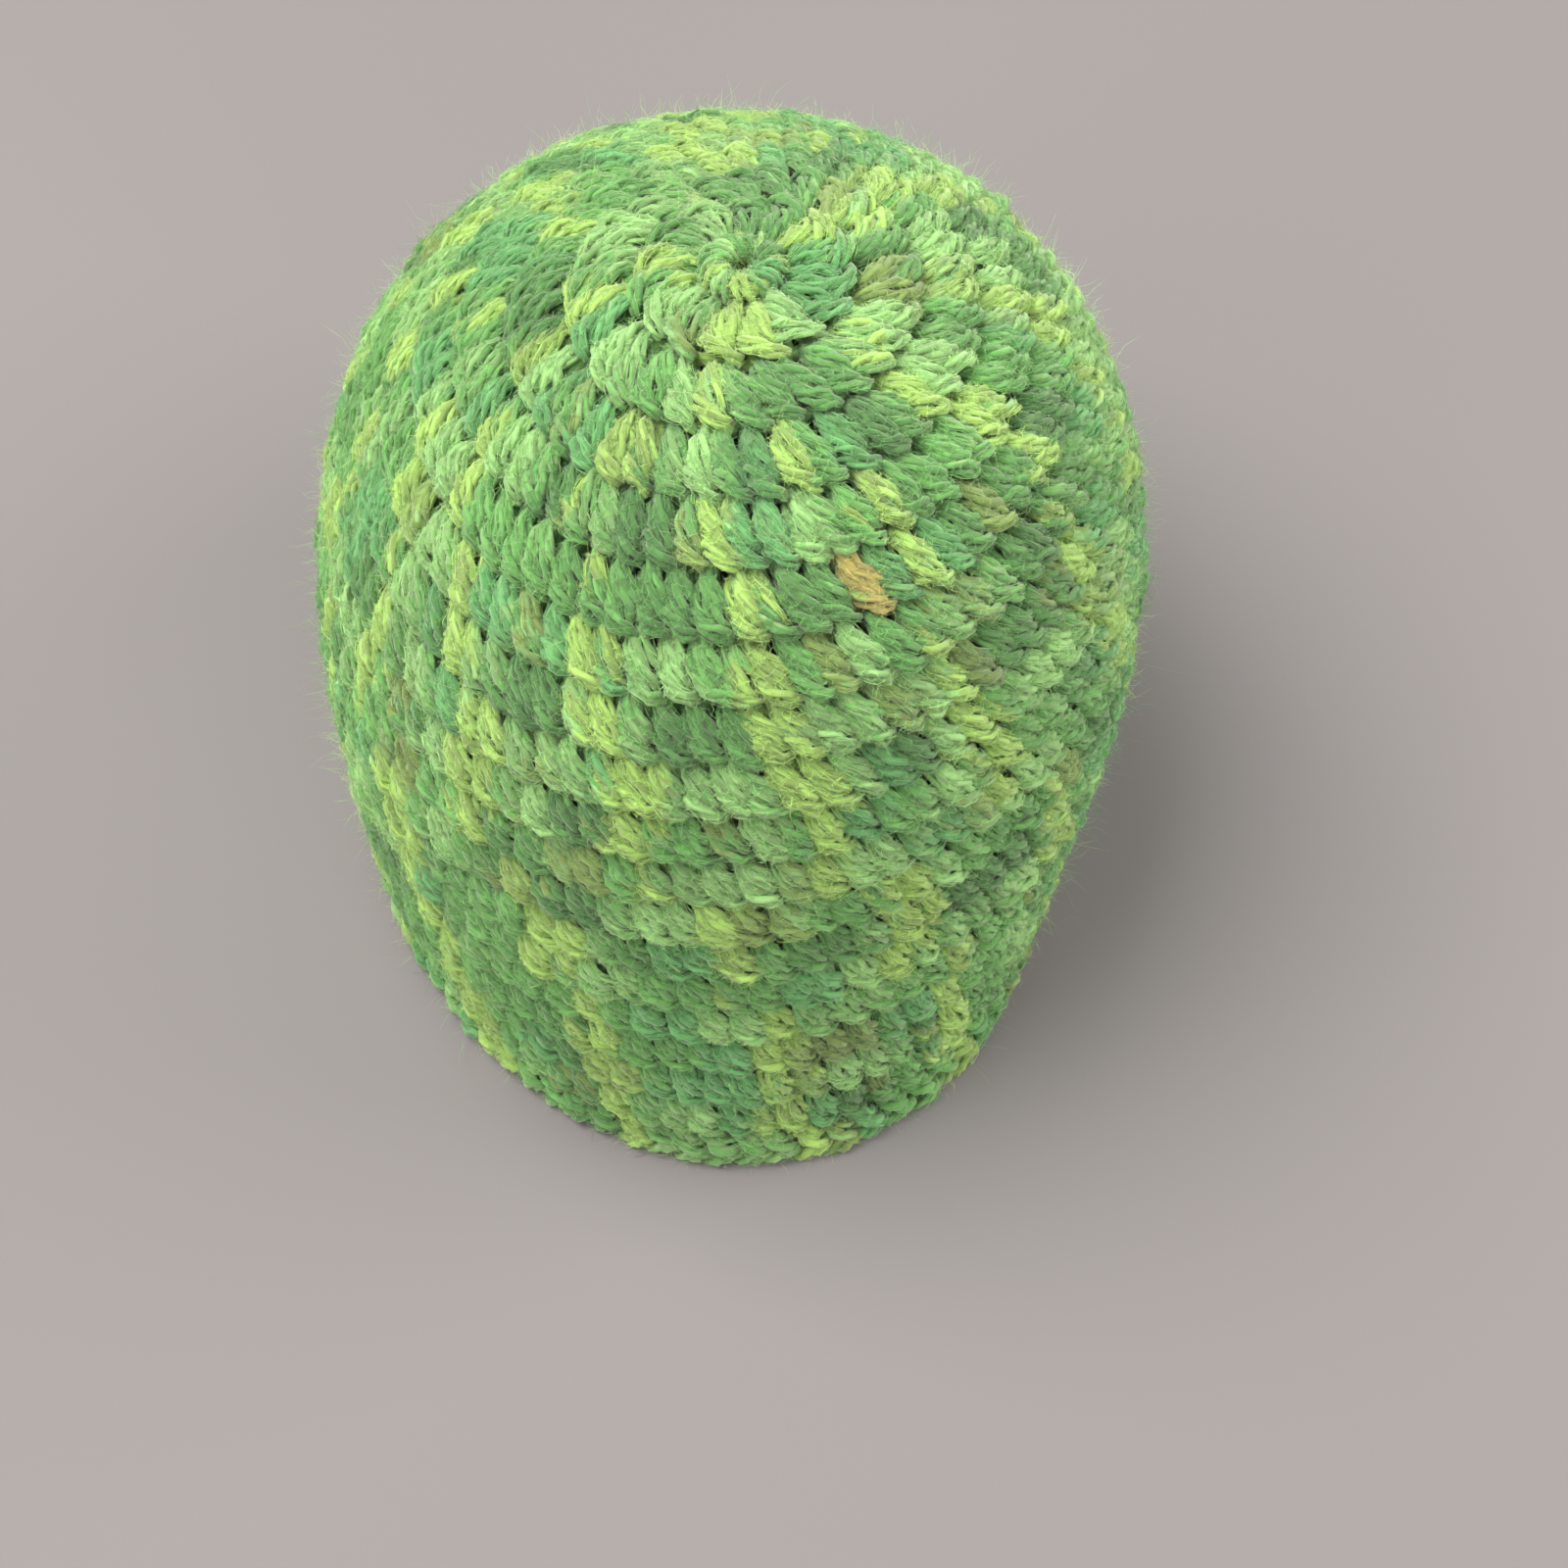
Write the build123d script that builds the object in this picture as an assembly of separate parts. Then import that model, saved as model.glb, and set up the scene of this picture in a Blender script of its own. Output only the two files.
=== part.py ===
from build123d import *
import math
import os

# A crocheted beanie, as it sits on a head. One length of yarn is worked from the
# crown's centre outwards, so each round is a closed band of fabric hooked into the
# round before it. +Z is up, the brim lies on z = 0, the back of the head is towards
# +Y, and the origin is the middle of the hat's box on the brim's plane.

# Driving dimensions, mm.
RING_HOLE = 1.6  # radius of the hole in the centre ring
RING_RADIUS = 7.6  # the crown's centre to the outside of the centre ring
ROUND_HEIGHT = 12.1  # one round of double crochet, measured over the fabric
ROUND_COUNT = 17
EDGE_HEIGHT = 10.4  # the slip-stitched edge
FABRIC = 5.0  # thickness of the fabric
PUFF = 0.8  # how far a round stands proud between its two seams
LEAN = 20.0  # how far the brim's middle lies to +X of the crown's centre
TAIL_RADIUS = 1.3  # the woven-in ends of the yarn, pressed a little flat
TAIL_GAP = 0.5  # between a tail and the fabric that it lies against
START_TAIL_LENGTH = 30.0
FINISH_TAIL_LENGTH = 45.0
START_TAIL_TURN = math.radians(250)  # where each tail's middle is, turned from +X
FINISH_TAIL_TURN = math.radians(70)

ARC = RING_RADIUS + ROUND_COUNT * ROUND_HEIGHT + EDGE_HEIGHT  # crown's centre to brim

# Slope of the fabric below level, in degrees, at equal steps from crown to brim.
SIDE_SLOPES = [0, 26, 57, 75, 90, 97, 102]
BACK_SLOPES = [-9, 25, 56, 78, 83, 82, 78]
FRONT_SLOPES = [9, 29, 36, 56, 79, 94, 104]

ARC_STEP = 0.5  # step of the sums along a meridian
AROUND = 32  # points that carry each closed curve


def slope_at(slopes, share):
    """Slope in degrees at a share of the way from crown to brim."""
    place = share * (len(slopes) - 1)
    index = min(int(place), len(slopes) - 2)
    return slopes[index] + (slopes[index + 1] - slopes[index]) * (place - index)


def meridian(slopes):
    """Running (reach, drop) along one meridian, every ARC_STEP."""
    reach, drop = 0.0, 0.0
    table = [(reach, drop)]
    for step in range(math.ceil(ARC / ARC_STEP)):
        angle = math.radians(slope_at(slopes, min((step + 0.5) * ARC_STEP / ARC, 1)))
        reach += ARC_STEP * math.cos(angle)
        drop += ARC_STEP * math.sin(angle)
        table.append((reach, drop))
    return table


SIDE, BACK, FRONT = meridian(SIDE_SLOPES), meridian(BACK_SLOPES), meridian(FRONT_SLOPES)


def read(table, arc):
    """(reach, drop) of a meridian at a distance from the crown's centre."""
    place = arc / ARC_STEP
    index = min(int(place), len(table) - 2)
    part = place - index
    (reach_a, drop_a), (reach_b, drop_b) = table[index], table[index + 1]
    return reach_a + (reach_b - reach_a) * part, drop_a + (drop_b - drop_a) * part


HEIGHT = (2 * read(SIDE, ARC)[1] + read(BACK, ARC)[1] + read(FRONT, ARC)[1]) / 4


def drop_at(azimuth, arc):
    """How far the fabric has come down, blended between side and end meridians."""
    end = BACK if math.sin(azimuth) >= 0 else FRONT
    across, along = math.cos(azimuth) ** 2, math.sin(azimuth) ** 2
    return read(SIDE, arc)[1] * across + read(end, arc)[1] * along


def outside(azimuth, arc):
    """A point of the hat's outer surface; the brim is level at z = 0."""
    end = BACK if math.sin(azimuth) >= 0 else FRONT
    across = math.cos(azimuth) / read(SIDE, arc)[0]
    along = math.sin(azimuth) / read(end, arc)[0]
    reach = 1 / math.hypot(across, along)
    share = arc / ARC
    levelling = (drop_at(azimuth, ARC) - HEIGHT) * share**2
    return Vector(
        reach * math.cos(azimuth) + LEAN * share**2,
        reach * math.sin(azimuth),
        HEIGHT - drop_at(azimuth, arc) + levelling,
    )


def fabric_point(azimuth, arc, proud):
    """A point standing proud of the outer surface, or inside it where negative."""
    small_turn, small_arc = 0.01, 0.5
    low, high = max(arc - small_arc, small_arc), min(arc + small_arc, ARC)
    around = outside(azimuth + small_turn, arc) - outside(azimuth - small_turn, arc)
    down = outside(azimuth, high) - outside(azimuth, low)
    point = outside(azimuth, arc) + down.cross(around).normalized() * proud
    if arc >= ARC:
        point = Vector(point.X, point.Y, 0)
    return point


def closed_curve(arc, proud):
    """A closed curve round the hat at one distance from the crown's centre."""
    turns = [math.tau * index / AROUND for index in range(AROUND)]
    points = [fabric_point(turn, arc, proud) for turn in turns]
    return Edge.make_spline(points, periodic=True)


def band(top, bottom):
    """A closed band of fabric between two distances from the crown's centre."""
    section = [
        (top, 0),
        ((top + bottom) / 2, PUFF),
        (bottom, 0),
        (bottom, -FABRIC),
        (top, -FABRIC),
    ]
    curves = [closed_curve(arc, proud) for arc, proud in section]
    faces = [
        Face.make_surface_from_curves(curve, curves[(index + 1) % len(curves)])
        for index, curve in enumerate(curves)
    ]
    if bottom >= ARC:  # the brim is level, so the hat rests on a true plane
        faces[2] = Face(Wire(curves[2]), [Wire(curves[3])])
    return Solid(Shell(faces))


def tail(azimuth, arc, length):
    """A woven-in end of yarn, lying inside the fabric along one round."""
    depth = -(FABRIC + TAIL_RADIUS + TAIL_GAP)
    centre = fabric_point(azimuth, arc, depth)
    reach = math.hypot(centre.X - LEAN * (arc / ARC) ** 2, centre.Y)
    half_turn = length / reach / 2
    turns = (azimuth - half_turn, azimuth, azimuth + half_turn)
    path = Edge.make_three_point_arc(*[fabric_point(turn, arc, depth) for turn in turns])
    section = Plane(origin=path @ 0, z_dir=path % 0) * Circle(TAIL_RADIUS)
    return sweep(section, path=path)


def build():
    """Every piece of the hat, by node name, as first placed."""
    pieces = {"centre_ring": band(RING_HOLE, RING_RADIUS)}
    top = RING_RADIUS
    for number in range(1, ROUND_COUNT + 1):
        pieces[f"round_{number:02d}"] = band(top, top + ROUND_HEIGHT)
        top += ROUND_HEIGHT
    pieces["edging"] = band(top, ARC)
    first_round = RING_RADIUS + ROUND_HEIGHT / 2
    pieces["start_tail"] = tail(START_TAIL_TURN, first_round, START_TAIL_LENGTH)
    pieces["finish_tail"] = tail(FINISH_TAIL_TURN, top + EDGE_HEIGHT * 0.4, FINISH_TAIL_LENGTH)
    return pieces


os.makedirs("parts", exist_ok=True)
hat = build()
box = Compound(list(hat.values())).bounding_box()
middle = Pos(-box.center().X, -box.center().Y, -box.min.Z)
for node, solid in hat.items():
    export_step(middle * solid, f"parts/{node}.step")
print("size", box.size, "middle", box.center())
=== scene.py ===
import math

import bpy
import numpy as np
from mathutils import Euler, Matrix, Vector


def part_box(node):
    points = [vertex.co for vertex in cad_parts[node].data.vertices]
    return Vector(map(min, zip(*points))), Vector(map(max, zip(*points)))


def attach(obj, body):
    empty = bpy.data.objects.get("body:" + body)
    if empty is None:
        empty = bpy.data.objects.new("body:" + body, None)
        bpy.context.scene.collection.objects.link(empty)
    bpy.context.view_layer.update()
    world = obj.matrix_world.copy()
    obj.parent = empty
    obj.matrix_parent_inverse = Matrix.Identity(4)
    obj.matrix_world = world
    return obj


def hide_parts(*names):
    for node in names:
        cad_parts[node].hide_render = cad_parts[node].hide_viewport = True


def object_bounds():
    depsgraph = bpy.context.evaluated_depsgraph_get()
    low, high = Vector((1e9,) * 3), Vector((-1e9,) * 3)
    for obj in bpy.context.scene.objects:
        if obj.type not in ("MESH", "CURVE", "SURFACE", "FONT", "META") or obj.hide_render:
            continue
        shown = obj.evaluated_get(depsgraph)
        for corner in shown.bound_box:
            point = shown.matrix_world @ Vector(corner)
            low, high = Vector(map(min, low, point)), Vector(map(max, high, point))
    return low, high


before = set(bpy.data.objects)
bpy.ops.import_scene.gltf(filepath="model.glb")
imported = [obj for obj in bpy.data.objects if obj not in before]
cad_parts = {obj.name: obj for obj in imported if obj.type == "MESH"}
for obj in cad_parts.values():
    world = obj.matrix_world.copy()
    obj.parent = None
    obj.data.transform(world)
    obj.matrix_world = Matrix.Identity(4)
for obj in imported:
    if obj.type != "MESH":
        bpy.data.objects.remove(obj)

# A crocheted beanie in fuzzy space-dyed wool. Every stitch is made of real strands of
# yarn that lie on the surface of the CAD hat, round by round from the crown down.
# Lengths are in metres. A place on the fabric is (turn, arc, proud): turns round the
# hat from +X, the distance over the fabric from the crown's centre, and the height
# above the CAD surface.

MM = 0.001
cad_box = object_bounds()

# The hat's surface, as the CAD part states it.
RING_RADIUS = 7.6 * MM
ROUND_HEIGHT = 12.1 * MM
ROUND_COUNT = 17
EDGE_HEIGHT = 10.4 * MM
FABRIC = 5.0 * MM
TAIL_RADIUS = 1.3 * MM
TAIL_GAP = 0.5 * MM
START_TAIL_LENGTH = 30 * MM
FINISH_TAIL_LENGTH = 45 * MM
LEAN = 20.0 * MM
ARC = RING_RADIUS + ROUND_COUNT * ROUND_HEIGHT + EDGE_HEIGHT
SIDE_SLOPES = [0, 26, 57, 75, 90, 97, 102]
BACK_SLOPES = [-9, 25, 56, 78, 83, 82, 78]
FRONT_SLOPES = [9, 29, 36, 56, 79, 94, 104]

# Stitches: the crown grows fast, then slowly, then the sides keep their count.
FAST_GROWTH, FAST_ROUNDS = 15, 4
SLOW_GROWTH, FULL_COUNT = 6, 84
STITCH_LEAN = 0.35  # how far a stitch leans along its round, in stitches
ROUND_SHIFT = -0.27  # how far each round starts from the one before, in stitches
YARN_RADIUS = 1.15 * MM
FULL_WIDTH = 7.0 * MM  # a stitch's width where YARN_RADIUS holds
SINK = 1.8 * MM  # the strands' middles lie this much deeper than their knots say
PLY_PITCH = 9 * MM  # the length of one turn of the yarn's twist
PLY_OFFSET, PLY_RADIUS = 0.48, 0.66  # of each ply, as shares of the strand's radius
RING_WRAPS = 20  # times that the yarn goes round the centre ring
TABLE_GAP = 0.1 * MM  # the lowest that yarn comes to the table that the brim lies on

# How unlike each other things made by hand are, as standard deviations.
STITCH_HAND = (0.07, 0.03, 0.25)  # a whole stitch: across in stitches, down in rounds, proud in mm
STRAND_HAND = (0.045, 0.025, 0.22)  # each knot of a strand, in the same units
WIDTH_HAND = 0.10  # a strand's radius
PLACE_HAND = 0.14  # where the dye falls on a strand, in stitches
PLY_TINT, BUNDLE_TINT, PATCH_TINT = 0.12, 0.15, 0.10  # light and dark in the wool

# Dye: the yarn changes colour along its length, measured in stitches.
DYE_REPEAT = 5.665
TAN_PLACE = 165.3  # one odd stitch in the fifth round
START_TAIL_PLACE, FINISH_TAIL_PLACE = 3, 900

rng = np.random.default_rng(7)


# ---------------------------------------------------------------- fabric surface


def meridian(slopes, arcs):
    """(reach, drop) along one meridian at evenly spaced arcs."""
    middles = (arcs[1:] + arcs[:-1]) / 2 / ARC
    stations = np.linspace(0, 1, len(slopes))
    slope = np.radians(np.interp(middles, stations, slopes))
    step = arcs[1] - arcs[0]
    reach = np.concatenate([[0], np.cumsum(np.cos(slope))]) * step
    drop = np.concatenate([[0], np.cumsum(np.sin(slope))]) * step
    return reach, drop


def surface_grid(arc_count=225, turn_count=720):
    """Points and normals of the outer surface, evenly spaced over arc and turn."""
    arcs = np.linspace(0, ARC, arc_count)
    side, back, front = (meridian(s, arcs) for s in (SIDE_SLOPES, BACK_SLOPES, FRONT_SLOPES))
    azimuth = np.linspace(0, math.tau, turn_count + 1)[None, :]
    cos, sin = np.cos(azimuth), np.sin(azimuth)
    behind = sin >= 0
    end_reach = np.where(behind, back[0][:, None], front[0][:, None])
    end_drop = np.where(behind, back[1][:, None], front[1][:, None])
    side_reach = np.maximum(side[0][:, None], 1e-9)
    reach = 1 / np.hypot(cos / side_reach, sin / np.maximum(end_reach, 1e-9))
    drop = side[1][:, None] * cos**2 + end_drop * sin**2
    height = (2 * side[1][-1] + back[1][-1] + front[1][-1]) / 4
    share = (arcs / ARC)[:, None] ** 2
    x = reach * cos + LEAN * share
    y = reach * sin
    z = height - drop + (drop[-1:] - height) * share
    points = np.stack([x, y, z], -1)
    even = even_turns(points, turn_count)
    along = np.roll(even, -1, axis=1) - np.roll(even, 1, axis=1)
    down = np.gradient(even, axis=0)
    normals = np.cross(down, along)
    length = np.linalg.norm(normals, axis=-1, keepdims=True)
    normals /= np.maximum(length, 1e-12)
    normals[0] = normals[2].mean(0)
    normals[1] = normals[2]
    low, high = even.reshape(-1, 3).min(0), even.reshape(-1, 3).max(0)
    shift = (np.array(cad_box[0]) + np.array(cad_box[1])) / 2 - (low + high) / 2
    shift[2] = 0
    return even + shift, normals


def even_turns(points, turn_count):
    """The same curves, with each row's points spread evenly by length."""
    steps = np.linalg.norm(np.diff(points, axis=1), axis=-1)
    even = np.empty((points.shape[0], turn_count, 3))
    wanted = np.arange(turn_count) / turn_count
    for row, (row_points, row_steps) in enumerate(zip(points, steps)):
        total = max(row_steps.sum(), 1e-9)
        reached = np.concatenate([[0], np.cumsum(row_steps)]) / total
        for axis in range(3):
            even[row, :, axis] = np.interp(wanted, reached, row_points[:, axis])
    return even


SURFACE, NORMALS = surface_grid()


def look_up(grid, turn, arc):
    """Values of a grid between its points."""
    rows, columns = grid.shape[:2]
    row = np.clip(arc / ARC, 0, 1) * (rows - 1)
    column = (turn % 1.0) * columns
    r0 = np.minimum(row.astype(int), rows - 2)
    c0 = column.astype(int) % columns
    rf, cf = (row - r0)[..., None], (column - np.floor(column))[..., None]
    c1 = (c0 + 1) % columns
    upper = grid[r0, c0] * (1 - cf) + grid[r0, c1] * cf
    lower = grid[r0 + 1, c0] * (1 - cf) + grid[r0 + 1, c1] * cf
    return upper * (1 - rf) + lower * rf


def fabric_point(turn, arc, proud):
    """Points of the fabric, and the outward direction there."""
    normal = look_up(NORMALS, turn, arc)
    normal /= np.linalg.norm(normal, axis=-1, keepdims=True)
    point = look_up(SURFACE, turn, arc) + normal * proud[..., None]
    return point, normal


def round_length(arc):
    """How long the fabric is once round, at a distance from the crown's centre."""
    turn = np.arange(361) / 360
    points = look_up(SURFACE, turn, np.full(361, arc))
    return float(np.linalg.norm(np.diff(points, axis=0), axis=1).sum())


# ---------------------------------------------------------------- strands of yarn

# Each strand of a stitch: its knots as (across in stitches, down in rounds, proud in mm),
# then its radius as a share of the yarn's. First the front of a double crochet: three
# posts that fan out, a short one beside them, and two strands of the bar over its top.
FRONT_STRANDS = [
    ([(-0.16, -0.04, -2.5), (-0.22, 0.17, -0.4), (-0.21, 0.42, 0.5),
      (-0.02, 0.67, 0.6), (0.26, 0.86, -0.5)], 0.86),
    ([(-0.08, -0.06, -2.3), (-0.02, 0.17, 0.1), (0.12, 0.44, 0.9),
      (0.30, 0.72, 0.6), (0.46, 0.88, -0.7)], 1.0),
    ([(0.04, -0.04, -2.5), (0.20, 0.15, -0.4), (0.36, 0.36, 0.3),
      (0.49, 0.56, 0.0), (0.56, 0.74, -1.4)], 0.88),
    ([(-0.36, 0.10, -2.6), (-0.48, 0.32, -0.5), (-0.38, 0.56, 0.4),
      (-0.06, 0.77, 0.6), (0.26, 0.91, -0.6)], 0.86),
    ([(-0.64, 0.54, -2.2), (-0.46, 0.64, 0.5), (-0.14, 0.76, 1.3),
      (0.26, 0.89, 1.4), (0.70, 1.00, -0.4)], 0.95),
    ([(-0.58, 0.71, -2.4), (-0.38, 0.80, 0.2), (-0.08, 0.91, 1.0),
      (0.30, 1.01, 0.9), (0.68, 1.07, -1.0)], 0.86),
]
BACK_STRANDS = [  # two posts and a bar that close the fabric behind
    ([(-0.18, -0.05, -2.5), (-0.26, 0.45, -3.2), (-0.16, 0.98, -2.6)], 1.4),
    ([(0.26, -0.05, -2.5), (0.20, 0.45, -3.2), (0.30, 0.98, -2.6)], 1.4),
    ([(-0.60, 1.02, -2.3), (0.00, 0.92, -3.1), (0.60, 1.04, -2.3)], 1.2),
]
EDGE_STRANDS = [  # the two sides of a chain, and two strands that tie it on
    ([(-0.70, 0.26, -1.0), (-0.35, 0.30, 1.2), (0.10, 0.42, 2.3),
      (0.50, 0.58, 2.0), (0.74, 0.70, 0.2)], 1.1),
    ([(-0.66, 0.92, -1.2), (-0.35, 0.88, 0.9), (0.05, 0.80, 2.1),
      (0.40, 0.70, 1.9), (0.66, 0.60, 0.0)], 1.1),
    ([(-0.45, -0.02, -2.4), (-0.30, 0.10, -0.2), (0.00, 0.22, 0.8),
      (0.30, 0.36, 0.4), (0.50, 0.44, -1.2)], 1.0),
    ([(-0.30, 0.05, -2.0), (-0.25, 0.40, 0.0), (-0.20, 0.70, 0.0), (-0.15, 0.86, -1.4)], 1.1),
]
EDGE_BACK_STRANDS = [
    ([(-0.60, 0.22, -2.6), (0.00, 0.34, -3.2), (0.60, 0.24, -2.6)], 1.4),
    ([(-0.60, 0.80, -2.4), (0.00, 0.68, -3.2), (0.60, 0.78, -2.4)], 1.4),
    ([(-0.1, 0.0, -2.2), (0.0, 0.5, -2.4), (0.1, 0.86, -2.0)], 1.3),
]
RING_STRANDS = [  # one wrap of the centre ring, from its hole outwards
    ([(0.0, 0.40, -2.2), (0.1, 0.37, -0.2), (0.35, 0.46, 1.7),
      (0.8, 0.68, 2.4), (1.2, 0.90, 1.6), (1.4, 1.04, -0.8)], 0.72),
]


def stitch_count(number):
    """Stitches in a round, from 1."""
    fast = FAST_GROWTH * min(number, FAST_ROUNDS)
    return min(fast + SLOW_GROWTH * max(number - FAST_ROUNDS, 0), FULL_COUNT)


def smooth_weights(knots, samples):
    """Weights that take a strand's knots to points of a smooth curve through them."""
    place = np.linspace(0, knots - 1, samples)
    weights = np.zeros((samples, knots))
    for sample, value in enumerate(place):
        index = min(int(value), knots - 2)
        t = value - index
        curve = (
            (-0.5 * t + t * t - 0.5 * t**3),
            (1 - 2.5 * t * t + 1.5 * t**3),
            (0.5 * t + 2 * t * t - 1.5 * t**3),
            (-0.5 * t * t + 0.5 * t**3),
        )
        for offset, weight in zip((-1, 0, 1, 2), curve):
            knot = index + offset
            if knot < 0:
                weights[sample, 0] += 2 * weight
                weights[sample, 1] -= weight
            elif knot >= knots:
                weights[sample, knots - 1] += 2 * weight
                weights[sample, knots - 2] -= weight
            else:
                weights[sample, knot] += weight
    return weights


def strand_axes(centres, outward):
    """Side and up of strands at each sample, and the length up to it."""
    tangent = np.gradient(centres, axis=1)
    tangent /= np.maximum(np.linalg.norm(tangent, axis=-1, keepdims=True), 1e-9)
    side = np.cross(tangent, outward)
    side /= np.maximum(np.linalg.norm(side, axis=-1, keepdims=True), 1e-9)
    steps = np.linalg.norm(np.diff(centres, axis=1), axis=-1)
    along = np.concatenate([np.zeros((len(centres), 1)), np.cumsum(steps, axis=1)], axis=1)
    return side, np.cross(side, tangent), along


skin = []  # every strand that the fuzz can grow from


class Tubes:
    """Collects strands and makes one mesh of them."""

    def __init__(self):
        self.verts, self.quads, self.caps, self.quad_dye, self.cap_dye = [], [], [], [], []
        self.count = 0

    def plied(self, centres, outward, radii, dye, sides):
        """A strand of two plies wound round each other."""
        side, up, along = strand_axes(centres, outward)
        start = rng.uniform(0, math.tau, (len(centres), 1))
        wind = along / PLY_PITCH * math.tau + start
        for ply in (0, math.pi):
            offset = np.cos(wind + ply)[..., None] * side + np.sin(wind + ply)[..., None] * up
            path = centres + offset * (radii * PLY_OFFSET)[..., None]
            tint = rng.lognormal(0, PLY_TINT, (len(centres), 1, 1))
            self.add(path, outward, radii * PLY_RADIUS, dye * tint, sides)
        skin.append((centres, outward, radii, dye))

    def add(self, centres, outward, radii, dye, sides):
        """Strands by their centres (S, M, 3), outward (S, M, 3), radii (S, M), dye (S, M, 3)."""
        strands, samples = centres.shape[:2]
        side, up, _ = strand_axes(centres, outward)
        angle = np.arange(sides) / sides * math.tau
        radius = radii[..., None] * (1 + rng.normal(0, 0.08, (strands, samples, sides)))
        ring = (
            centres[:, :, None]
            + (radius * np.cos(angle))[..., None] * side[:, :, None]
            + (radius * np.sin(angle))[..., None] * up[:, :, None]
        )
        ring[..., 2] = np.maximum(ring[..., 2], TABLE_GAP)
        self.verts.append(ring.reshape(-1, 3))
        index = np.arange(strands * samples * sides).reshape(strands, samples, sides) + self.count
        after = np.roll(index, -1, axis=2)
        quads = np.stack([index[:, :-1], after[:, :-1], after[:, 1:], index[:, 1:]], -1)
        self.quads.append(quads.reshape(-1, 4))
        self.caps.append(np.concatenate([index[:, 0, ::-1], index[:, -1]]))
        # Each side is a bundle of fibres with its own share of light and dark ones.
        bundle = rng.lognormal(0, BUNDLE_TINT, (strands, 1, sides, 1))
        patch = rng.lognormal(0, PATCH_TINT, (strands, samples - 1, sides, 1))
        self.quad_dye.append((dye[:, :-1, None] * bundle * patch).reshape(-1, 3))
        self.cap_dye.append(np.concatenate([dye[:, 0], dye[:, -1]]))
        self.count += strands * samples * sides

    def build(self, name):
        mesh = bpy.data.meshes.new(name)
        quads = np.concatenate(self.quads)
        loops = [quads.ravel()] + [caps.ravel() for caps in self.caps]
        sizes = [np.full(len(quads), 4)] + [np.full(len(caps), caps.shape[1]) for caps in self.caps]
        fill_mesh(mesh, np.concatenate(self.verts), np.concatenate(loops), np.concatenate(sizes))
        paint(mesh, np.concatenate(self.quad_dye + self.cap_dye), "yarn")
        return finished(name, mesh)


def fill_mesh(mesh, verts, loops, sizes):
    """Puts points and polygons into an empty mesh."""
    mesh.vertices.add(len(verts))
    mesh.vertices.foreach_set("co", verts.astype(np.float32).ravel())
    mesh.loops.add(len(loops))
    mesh.loops.foreach_set("vertex_index", loops.astype(np.int32))
    mesh.polygons.add(len(sizes))
    starts = np.concatenate([[0], np.cumsum(sizes)[:-1]])
    mesh.polygons.foreach_set("loop_start", starts.astype(np.int32))
    mesh.polygons.foreach_set("use_smooth", np.ones(len(sizes), bool))
    mesh.update(calc_edges=True)


def finished(name, mesh):
    piece = bpy.data.objects.new(name, mesh)
    bpy.context.scene.collection.objects.link(piece)
    return piece


# ---------------------------------------------------------------- dye

GREEN = np.array([0.105, 0.285, 0.062])
DEEP = np.array([0.056, 0.165, 0.038])
TEAL = np.array([0.092, 0.278, 0.082])
OLIVE = np.array([0.160, 0.240, 0.055])
PALE = np.array([0.220, 0.410, 0.125])
LIME = np.array([0.268, 0.425, 0.088])
TAN = np.array([0.330, 0.275, 0.068])
DYES = {
    "green": GREEN,
    "deep": DEEP,
    "teal": TEAL,
    "olive": OLIVE,
    "pale": PALE,
    "lime": LIME,
    "tan": TAN,
}
SHADES = {"dark": 0.68, "plain": 0.95, "light": 1.28}
WOOLS = [(f"{dye}_{shade}", DYES[dye] * SHADES[shade]) for dye in DYES for shade in SHADES]
PAINTED_LIGHT_LIFT = {"yarn": 1.0, "fibre": 1.4}  # painted light: a loose fibre's wool is painted paler, standing in for the light it lets through and offsetting the shade on its thin round sides


def paint(mesh, colours, kind):
    """Gives each face the nearest of the dyed wools, as yarn or as loose fibre."""
    wools = np.sqrt(np.array([colour for _, colour in WOOLS]))
    nearest = np.argmin(((np.sqrt(colours)[:, None] - wools) ** 2).sum(-1), axis=1)
    used, index = np.unique(nearest, return_inverse=True)
    for number in used:
        dye, colour = WOOLS[number]
        # Loose fibre gets a paler copy of each wool, which is painted light.
        mesh.materials.append(wool_material(f"{kind}_{dye}", colour * PAINTED_LIGHT_LIFT[kind]))
    mesh.polygons.foreach_set("material_index", index.ravel().astype(np.int32))


def wander(place, scale, seed):
    """A smooth random curve between -1 and 1 along the yarn."""
    local = np.random.default_rng(seed)
    knots = local.uniform(-1, 1, 4096)
    value = place / scale
    index = np.floor(value).astype(int)
    t = value - index
    t = t * t * (3 - 2 * t)
    return knots[index % 4096] * (1 - t) + knots[(index + 1) % 4096] * t


def blend(a, b, amount):
    return a + (b - a) * np.clip(amount, 0, 1)[..., None]


def dye_at(place):
    """The yarn's colour at a place along it, in stitches from its start.

    Greens wander into each other along the yarn, and a stretch of lime comes round once
    in every repeat.
    """
    phase = (place / DYE_REPEAT + 0.16 * wander(place, 23.0, 1)) % 1.0
    colour = blend(GREEN, DEEP, 0.5 + 0.9 * wander(place, 2.3, 2))
    colour = blend(colour, TEAL, 1.6 * wander(place, 3.1, 3) - 0.2)
    colour = blend(colour, PALE, 1.4 * wander(place, 1.9, 4) - 0.1)
    colour = blend(colour, OLIVE, 2.2 * wander(place, 1.7, 7) - 1.2)
    distance = np.abs(phase - 0.5)
    width = 0.105 + 0.07 * wander(place, 5.0, 5)
    lime = np.clip((width - distance) / 0.04 + 0.5, 0, 1)
    colour = blend(colour, LIME, lime * (0.85 + 0.25 * wander(place, 4.0, 6)))
    return blend(colour, TAN, 0.9 * np.exp(-(((place - TAN_PLACE) / 0.5) ** 2)))


# ---------------------------------------------------------------- rounds


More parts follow.
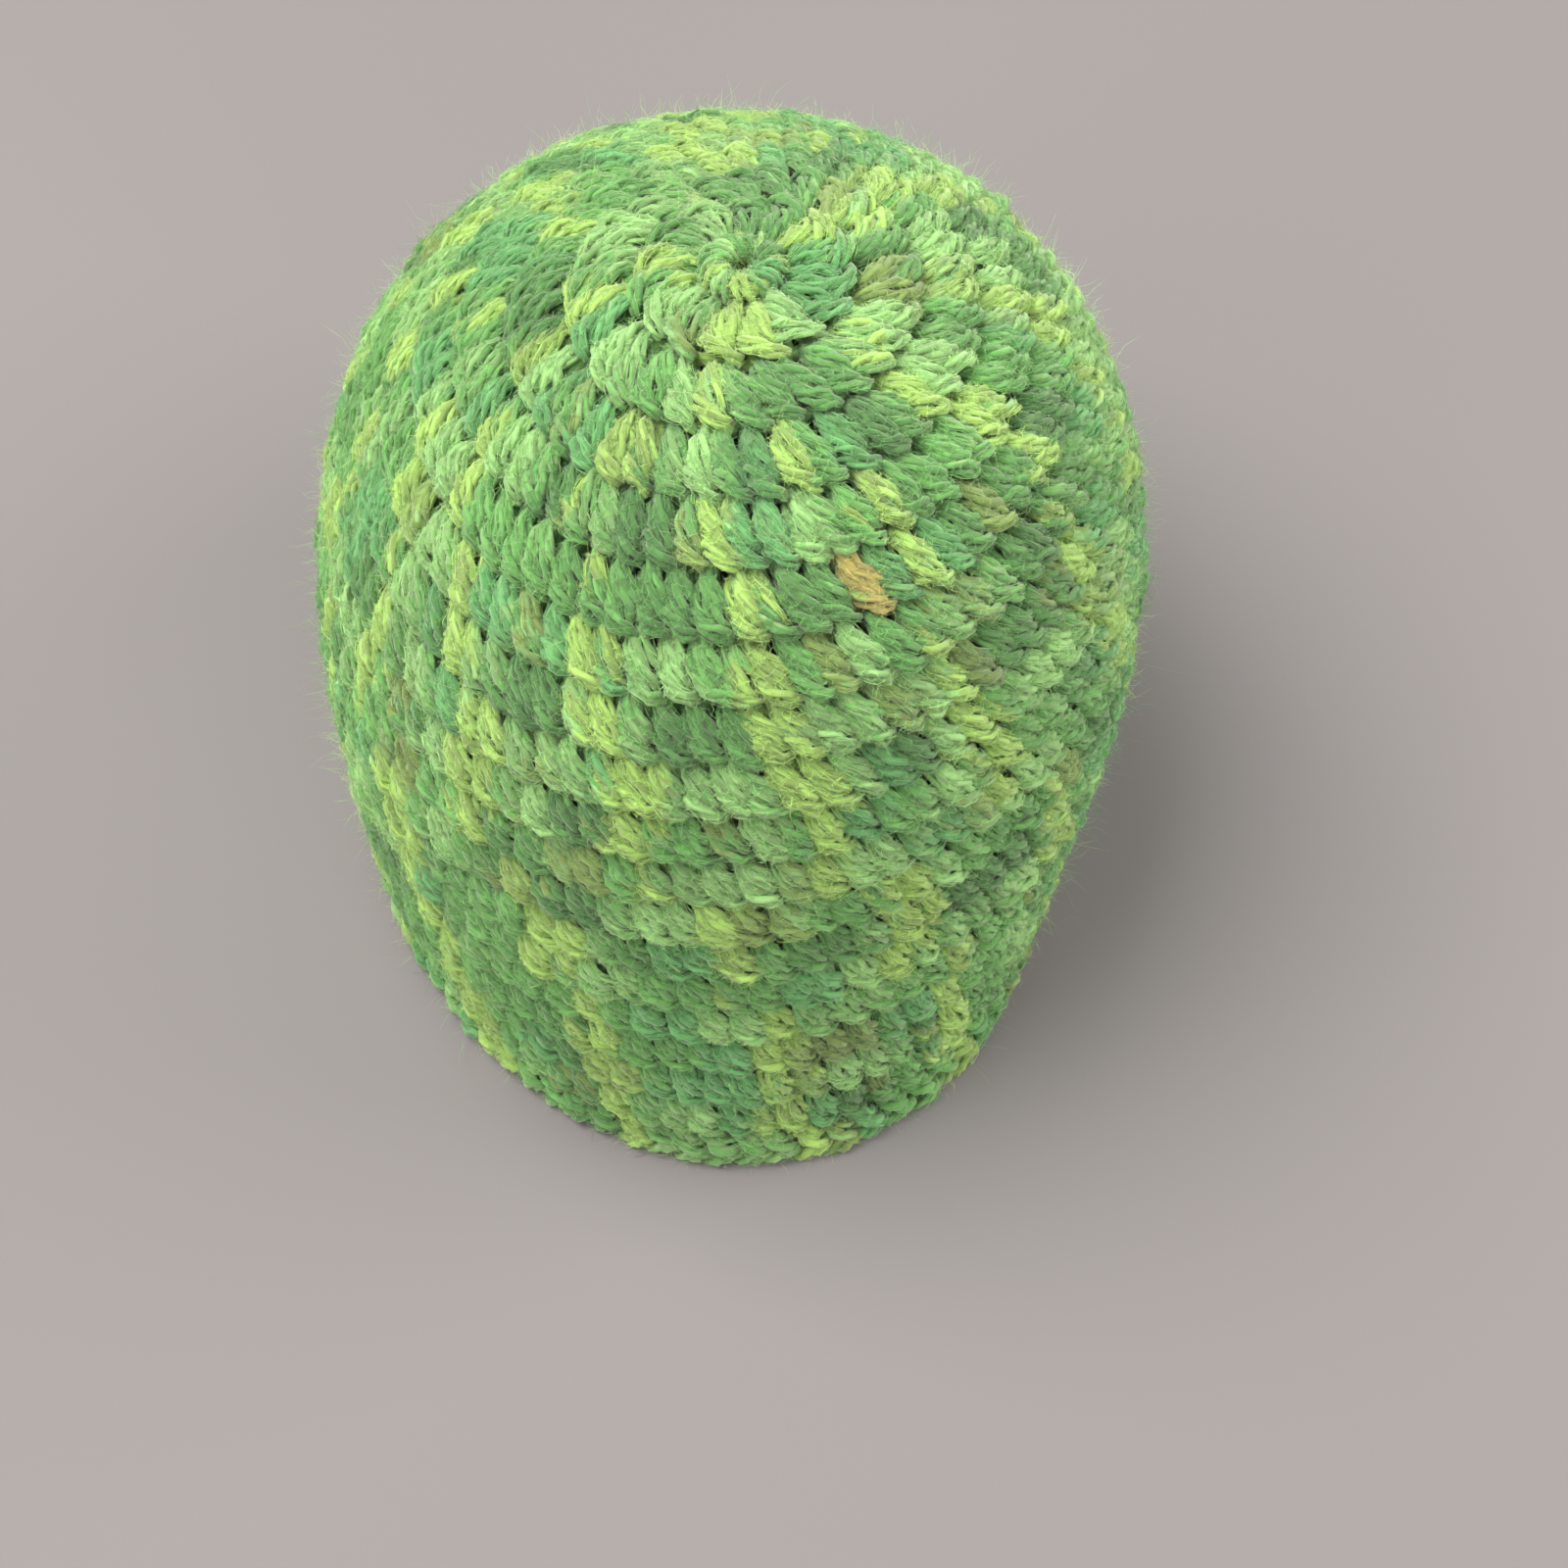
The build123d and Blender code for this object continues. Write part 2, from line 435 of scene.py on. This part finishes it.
def strand_points(knots, samples, centre, base, width, top, height, hand):
    """Centres and outward directions of one strand in every stitch of a round."""
    knots = np.array(knots)
    # Near the crown the stitches stand upright, and further down they slant.
    upright = 1 - np.clip((top - RING_RADIUS) / (7 * ROUND_HEIGHT), 0.3, 1)
    knots[:, 0] -= upright * 0.36 * (knots[:, 1] - 0.4)
    stitches = len(centre)
    local = np.repeat(knots[None], stitches, axis=0)
    local = local + rng.normal(0, 1, local.shape) * STRAND_HAND
    local += hand[:, None]
    curve = np.einsum("mk,skc->smc", smooth_weights(len(knots), samples), local)
    across, down, proud = curve[..., 0], curve[..., 1], curve[..., 2] * MM - SINK
    # A stitch starts at its base in the round before and has moved to its own place
    # three quarters of the way down.
    settle = np.clip(down / 0.75, 0, 1)
    settle = settle * settle * (3 - 2 * settle)
    middle = base[:, None] + (centre - base)[:, None] * settle
    narrow = 0.8 + 0.2 * settle
    turn = middle + across * np.where(down < 0.5, narrow, 1) * width
    return fabric_point(turn, top + down * height, proud)


def stitch_rounds():
    """Where every stitch is: for each round (centres, bases, stitch width, first place)."""
    rounds, previous, first = [], None, 0
    for number in range(1, ROUND_COUNT + 1):
        count = stitch_count(number)
        width = 1 / count
        if previous is None:
            centre = (np.arange(count) + 0.5) * width
            base = centre.copy()
        else:
            parents, parent_width = previous
            parent = (np.arange(count) * len(parents)) // count
            start = parents[0] + ROUND_SHIFT * width - (width - parent_width) / 2
            centre = start + np.arange(count) * width
            lean = STITCH_LEAN * min(number / 8, 1)
            anchor = parents[parent] + (ROUND_SHIFT - lean) * parent_width
            even = centre - lean * width
            base = even if count == len(parents) else anchor * 0.45 + even * 0.55
        rounds.append((centre, base, width, first))
        previous = (centre, width)
        first += count
    return rounds


def add_stitches(
    tubes, strands, centre, base, width, first, top, height, radius, samples=9, sides=7, plied=True
):
    """Every strand of every stitch of one round."""
    hand = rng.normal(0, 1, (len(centre), 3)) * STITCH_HAND
    for knots, share in strands:
        points, outward = strand_points(knots, samples, centre, base, width, top, height, hand)
        radii = np.full(points.shape[:2], radius * share)
        radii *= rng.normal(1, WIDTH_HAND, (len(centre), 1))
        taper = np.sin(np.linspace(0.12, 0.88, samples) * math.pi) ** 0.25
        place = first + np.arange(len(centre))[:, None] + np.linspace(0, 0.5, samples)
        place = place + rng.normal(0, PLACE_HAND, (len(centre), 1))
        if plied:
            tubes.plied(points, outward, radii * taper, dye_at(place), sides)
        else:
            tubes.add(points, outward, radii * taper, dye_at(place), sides)


def make_round(number, spot):
    centre, base, width, first = spot
    top = RING_RADIUS + (number - 1) * ROUND_HEIGHT
    real_width = round_length(top + ROUND_HEIGHT / 2) * width
    radius = YARN_RADIUS * math.sqrt(real_width / FULL_WIDTH)
    tubes = Tubes()
    spot = centre, base, width, first, top, ROUND_HEIGHT, radius
    add_stitches(tubes, FRONT_STRANDS, *spot)
    add_stitches(tubes, BACK_STRANDS, *spot, samples=7, sides=6, plied=False)
    return tubes.build(f"crochet_round_{number:02d}")


def make_ring():
    """The doughnut at the crown: a loop of yarn, wrapped all round."""
    tubes = Tubes()
    centre = (np.arange(RING_WRAPS) + 0.5) / RING_WRAPS
    spot = centre, centre, 1 / RING_WRAPS, 0, 0, RING_RADIUS, YARN_RADIUS
    add_stitches(tubes, RING_STRANDS, *spot, samples=16)
    # The loop inside the wraps.
    turn = np.linspace(0, 1, 49)[None]
    arc, depth = np.full_like(turn, 5.2 * MM), np.full_like(turn, -1.4 * MM)
    points, outward = fabric_point(turn, arc, depth)
    radii = np.full(points.shape[:2], YARN_RADIUS * 1.5)
    tubes.add(points, outward, radii, dye_at(turn * 12), 12)
    return tubes.build("crochet_centre_ring")


def make_edging(last):
    """The slip-stitched edge: a chain lying along the brim."""
    centre, _, width, first = last
    top = RING_RADIUS + ROUND_COUNT * ROUND_HEIGHT
    centre = centre + ROUND_SHIFT * width
    spot = centre, centre, width, first + len(centre), top, EDGE_HEIGHT, YARN_RADIUS * 1.1
    tubes = Tubes()
    add_stitches(tubes, EDGE_STRANDS, *spot)
    add_stitches(tubes, EDGE_BACK_STRANDS, *spot, samples=7, sides=6, plied=False)
    return tubes.build("crochet_edging")


def make_tail(node, arc, length, place):
    """A woven-in end of the yarn, lying inside the fabric where the CAD has it."""
    depth = -(FABRIC + TAIL_RADIUS + TAIL_GAP)
    low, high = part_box(node)
    middle = (np.array(low) + np.array(high)) / 2
    turns = np.arange(720) / 720
    points, _ = fabric_point(turns, np.full(720, arc), np.full(720, depth))
    nearest = turns[np.argmin(np.linalg.norm(points - middle, axis=1))]
    half = length / round_length(arc) / 2
    along = np.linspace(-1, 1, 40)[None]
    wave = np.sin(along * 9)
    turn = nearest + half * along
    points, outward = fabric_point(turn, arc + 0.4 * MM * wave, depth + 0.15 * MM * wave)
    radii = np.full(along.shape, TAIL_RADIUS * 0.9)
    tubes = Tubes()
    tubes.plied(points, outward, radii, dye_at(place + along), 10)
    skin.pop()  # a tail grows no fuzz
    return tubes.build(f"yarn_{node}")


# ---------------------------------------------------------------- fuzz


def unit(vectors):
    return vectors / np.maximum(np.linalg.norm(vectors, axis=-1, keepdims=True), 1e-12)


def pick_strands(count):
    """Random strands, as (which, strand numbers) for each group of alike ones."""
    totals = np.array([len(centres) for centres, _, _, _ in skin])
    pick = rng.choice(len(skin), count, p=totals / totals.sum())
    for index in range(len(skin)):
        amount = int((pick == index).sum())
        if amount:
            yield skin[index], rng.integers(0, totals[index], amount)


def lying_fibres(count):
    """Loose fibres that follow the yarn, with their ends lifting off it."""
    paths, dyes = [], []
    for (centres, outward, radii, dye), strand in pick_strands(count):
        side, up, _ = strand_axes(centres, outward)
        amount = len(strand)
        start = rng.integers(0, centres.shape[1] - 3, amount)
        sample = start[:, None] + np.arange(4)
        rows = strand[:, None]
        angle = rng.uniform(-0.15, 1.15, (amount, 1)) * math.pi
        angle = angle + rng.normal(0.5, 0.7, (amount, 1)) * np.linspace(-0.5, 0.5, 4)
        angle = angle + rng.normal(0, 0.16, (amount, 4))
        away = np.cos(angle)[..., None] * side[rows, sample]
        away = away + np.sin(angle)[..., None] * up[rows, sample]
        lift = rng.uniform(0.0, 0.28, (amount, 1)) * MM + rng.gamma(1.0, 0.16, (amount, 4)) * MM
        height = radii[rows, sample] * 1.02 + lift
        paths.append(centres[rows, sample] + away * height[..., None])
        dyes.append(dye[strand, start + 1])
    return np.concatenate(paths), np.concatenate(dyes)


def matted_fibres(count):
    """Short fibres that cross the yarn in every direction, as wool mats."""
    paths, dyes = [], []
    steps = np.linspace(-0.5, 0.5, 3)[None, :, None]
    for (centres, outward, radii, dye), strand in pick_strands(count):
        side, up, _ = strand_axes(centres, outward)
        amount = len(strand)
        sample = rng.integers(1, centres.shape[1] - 1, amount)
        angle = rng.uniform(0.1, 0.9, (amount, 1)) * math.pi
        away = np.cos(angle) * side[strand, sample] + np.sin(angle) * up[strand, sample]
        lift = radii[strand, sample][:, None] + rng.uniform(0.05, 0.4, (amount, 1)) * MM
        heading = unit(np.cross(outward[strand, sample], rng.normal(0, 1, (amount, 3))))
        length = rng.uniform(1.2, 3.6, (amount, 1)) * MM
        bend = unit(rng.normal(0, 1, (amount, 3))) * 0.5 - away * rng.uniform(0.2, 0.9, (amount, 1))
        middle = (centres[strand, sample] + away * lift)[:, None]
        straight, bent = (length * heading)[:, None], (length * bend)[:, None]
        paths.append(middle + straight * steps + bent * steps**2)
        dyes.append(dye[strand, sample])
    return np.concatenate(paths), np.concatenate(dyes)


def standing_fibres(count):
    """The halo: fibres that stand out from the fabric and curl over."""
    paths, dyes = [], []
    steps = np.linspace(0, 1, 4)[None, :, None]
    for (centres, outward, radii, dye), strand in pick_strands(count):
        side, up, _ = strand_axes(centres, outward)
        amount = len(strand)
        sample = rng.integers(1, centres.shape[1] - 1, amount)
        angle = rng.uniform(0.1, 0.9, (amount, 1)) * math.pi
        away = np.cos(angle) * side[strand, sample] + np.sin(angle) * up[strand, sample]
        root = centres[strand, sample] + away * radii[strand, sample][:, None]
        heading = unit(away * 0.7 + rng.normal(0, 0.6, (amount, 3)))
        length = np.minimum(rng.gamma(1.6, 0.9, (amount, 1)) + 0.8, 6) * MM
        curl, wave = rng.normal(0, 1.0, (2, amount, 1, 3))
        bend = curl * steps**2 / 2 + wave * steps * (steps - 0.5) * (steps - 1) * 1.5
        paths.append(root[:, None] + length[:, None] * (heading[:, None] * steps + bend))
        dyes.append(dye[strand, sample])
    return np.concatenate(paths), np.concatenate(dyes)


def fibre_mesh(name, paths, thickness, dye):
    """Thin spindles along the paths (F, M, 3)."""
    count, samples = paths.shape[:2]
    tangent = unit(np.gradient(paths, axis=1))
    side = unit(np.cross(tangent, unit(rng.normal(0, 1, (count, 1, 3)))))
    up = np.cross(side, tangent)
    inner = samples - 2
    angle = np.arange(3) / 3 * math.tau
    wide = thickness[:, None, None, None] * np.ones((1, inner, 3, 1))
    rings = paths[:, 1:-1, None] + wide * (
        np.cos(angle)[:, None] * side[:, 1:-1, None] + np.sin(angle)[:, None] * up[:, 1:-1, None]
    )
    verts = np.concatenate([paths[:, :1], rings.reshape(count, -1, 3), paths[:, -1:]], axis=1)
    verts[..., 2] = np.maximum(verts[..., 2], 2 * TABLE_GAP)
    each = verts.shape[1]
    start, end = 0, each - 1
    polygons = []
    for corner in range(3):
        after = (corner + 1) % 3
        polygons.append([start, 1 + after, 1 + corner])
        for ring in range(inner - 1):
            low, high = 1 + ring * 3, 4 + ring * 3
            polygons.append([low + corner, low + after, high + after, high + corner])
        last = 1 + (inner - 1) * 3
        polygons.append([last + corner, last + after, end])
    pattern = np.concatenate([np.array(polygon) for polygon in polygons])
    sizes = np.tile([len(polygon) for polygon in polygons], count)
    loops = (pattern[None] + np.arange(count)[:, None] * each).ravel()
    mesh = bpy.data.meshes.new(name)
    fill_mesh(mesh, verts.reshape(-1, 3), loops, sizes)
    paint(mesh, np.repeat(dye, len(polygons), axis=0), "fibre")
    return finished(name, mesh)


# Each kind of fuzz: its name, how it grows, how many fibres, and their radius in mm.
FUZZ_KINDS = [
    ("lying", lying_fibres, 44000, 0.036, 0.066),
    ("matted", matted_fibres, 256000, 0.030, 0.060),
    ("standing", standing_fibres, 60000, 0.018, 0.032),
]
PIECE_FACES = 180000  # the most triangles that one piece of fuzz may have


def make_fuzz():
    """Every kind of fuzz, in pieces of a handy size."""
    pieces = []
    for kind, grow, count, thin, thick in FUZZ_KINDS:
        paths, dye = grow(count)
        # Seven fibres in ten are painted lighter, as a painted haze of light over the wool. The
        # rest keep about the yarn's own tone, and which fibres these are is random.
        dye = dye * np.where(rng.random((count, 1)) < 0.7, 1.35, 0.95)
        order = rng.permutation(count)
        faces = 6 * (paths.shape[1] - 2) * count
        groups = np.array_split(order, math.ceil(faces / PIECE_FACES))
        for part, group in enumerate(groups, 1):
            thickness = rng.uniform(thin, thick, len(group)) * MM
            pieces.append(fibre_mesh(f"fuzz_{kind}_{part}", paths[group], thickness, dye[group]))
    return pieces


# ---------------------------------------------------------------- materials


def wool_material(name, colour):
    """Dyed wool: matt, with the soft sheen of its finest hairs."""
    if name in bpy.data.materials:
        return bpy.data.materials[name]
    material = bpy.data.materials.new(name)
    material.use_nodes = True
    shader = material.node_tree.nodes["Principled BSDF"]
    shader.inputs["Base Color"].default_value = (*colour, 1)
    shader.inputs["Roughness"].default_value = 0.95
    shader.inputs["Specular IOR Level"].default_value = 0.2
    shader.inputs["Sheen Weight"].default_value = 0.5
    shader.inputs["Sheen Roughness"].default_value = 0.6
    shader.inputs["Sheen Tint"].default_value = (0.97, 1.0, 0.76, 1)
    return material


def floor_material():
    material = bpy.data.materials.new("pale_floor")
    material.use_nodes = True
    shader = material.node_tree.nodes["Principled BSDF"]
    shader.inputs["Base Color"].default_value = (0.215, 0.194, 0.185, 1)
    shader.inputs["Roughness"].default_value = 0.9
    return material


# ---------------------------------------------------------------- stage


def make_stage():
    mesh = bpy.data.meshes.new("floor")
    half = 2.5
    corners = [(-half, -half, 0), (half, -half, 0), (half, half, 0), (-half, half, 0)]
    mesh.from_pydata(corners, [], [(0, 1, 2, 3)])
    floor = finished("floor", mesh)
    mesh.materials.append(floor_material())


def area_light(name, place, aim, size, power):
    light = bpy.data.lights.new(name, "AREA")
    light.size = size
    light.energy = power
    lamp = bpy.data.objects.new(name, light)
    lamp.location = place
    lamp.rotation_euler = (Vector(aim) - Vector(place)).to_track_quat("-Z", "Y").to_euler()
    bpy.context.scene.collection.objects.link(lamp)


def make_lights():
    middle = (0, 0, 0.09)
    area_light("top_light", (0.35, -0.25, 1.15), middle, 0.8, 21)
    area_light("left_light", (1.0, 0.3, 0.7), middle, 0.8, 4)
    area_light("back_light", (-0.2, 1.2, 0.55), middle, 0.8, 5)
    area_light("right_light", (-1.0, 0.2, 0.6), middle, 0.8, 10)
    world = bpy.data.worlds.new("studio")
    world.use_nodes = True
    world.node_tree.nodes["Background"].inputs[0].default_value = (0.95, 0.97, 1.0, 1)
    world.node_tree.nodes["Background"].inputs[1].default_value = 0.43
    bpy.context.scene.world = world
    bpy.context.scene.view_settings.view_transform = "Standard"


def make_camera():
    """Close behind and above, as a person holding a phone over the hat."""
    distance, elevation, azimuth = 0.4805, math.radians(55.97), math.radians(14.5)
    crown = look_up(SURFACE, np.array([0.0]), np.array([0.0]))[0]
    target = Vector((crown[0], crown[1], crown[2] / 2))
    back = Vector((
        math.sin(azimuth) * math.cos(elevation),
        math.cos(azimuth) * math.cos(elevation),
        math.sin(elevation),
    ))
    data = bpy.data.cameras.new("camera")
    data.sensor_width = 36
    data.lens = 54
    camera = bpy.data.objects.new("camera", data)
    camera.location = target + back * distance
    level = (-back).to_track_quat("-Z", "Y")
    tilt = Euler((math.radians(-5.77), 0, 0)).to_quaternion()
    roll = Euler((0, 0, math.radians(-4.49))).to_quaternion()
    camera.rotation_mode = "QUATERNION"
    camera.rotation_quaternion = level @ tilt @ roll
    bpy.context.scene.collection.objects.link(camera)
    bpy.context.scene.camera = camera


# ---------------------------------------------------------------- the hat


def dress(piece, *nodes):
    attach(piece, "root")
    if nodes:
        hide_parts(*nodes)


spots = stitch_rounds()
dress(make_ring(), "centre_ring")
for number, spot in enumerate(spots, 1):
    dress(make_round(number, spot), f"round_{number:02d}")
dress(make_edging(spots[-1]), "edging")
start_arc = RING_RADIUS + ROUND_HEIGHT / 2
finish_arc = RING_RADIUS + ROUND_COUNT * ROUND_HEIGHT + EDGE_HEIGHT * 0.4
start_tail = make_tail("start_tail", start_arc, START_TAIL_LENGTH, START_TAIL_PLACE)
dress(start_tail, "start_tail")
finish_tail = make_tail("finish_tail", finish_arc, FINISH_TAIL_LENGTH, FINISH_TAIL_PLACE)
dress(finish_tail, "finish_tail")
for piece in make_fuzz():
    dress(piece)
make_stage()
make_lights()
make_camera()
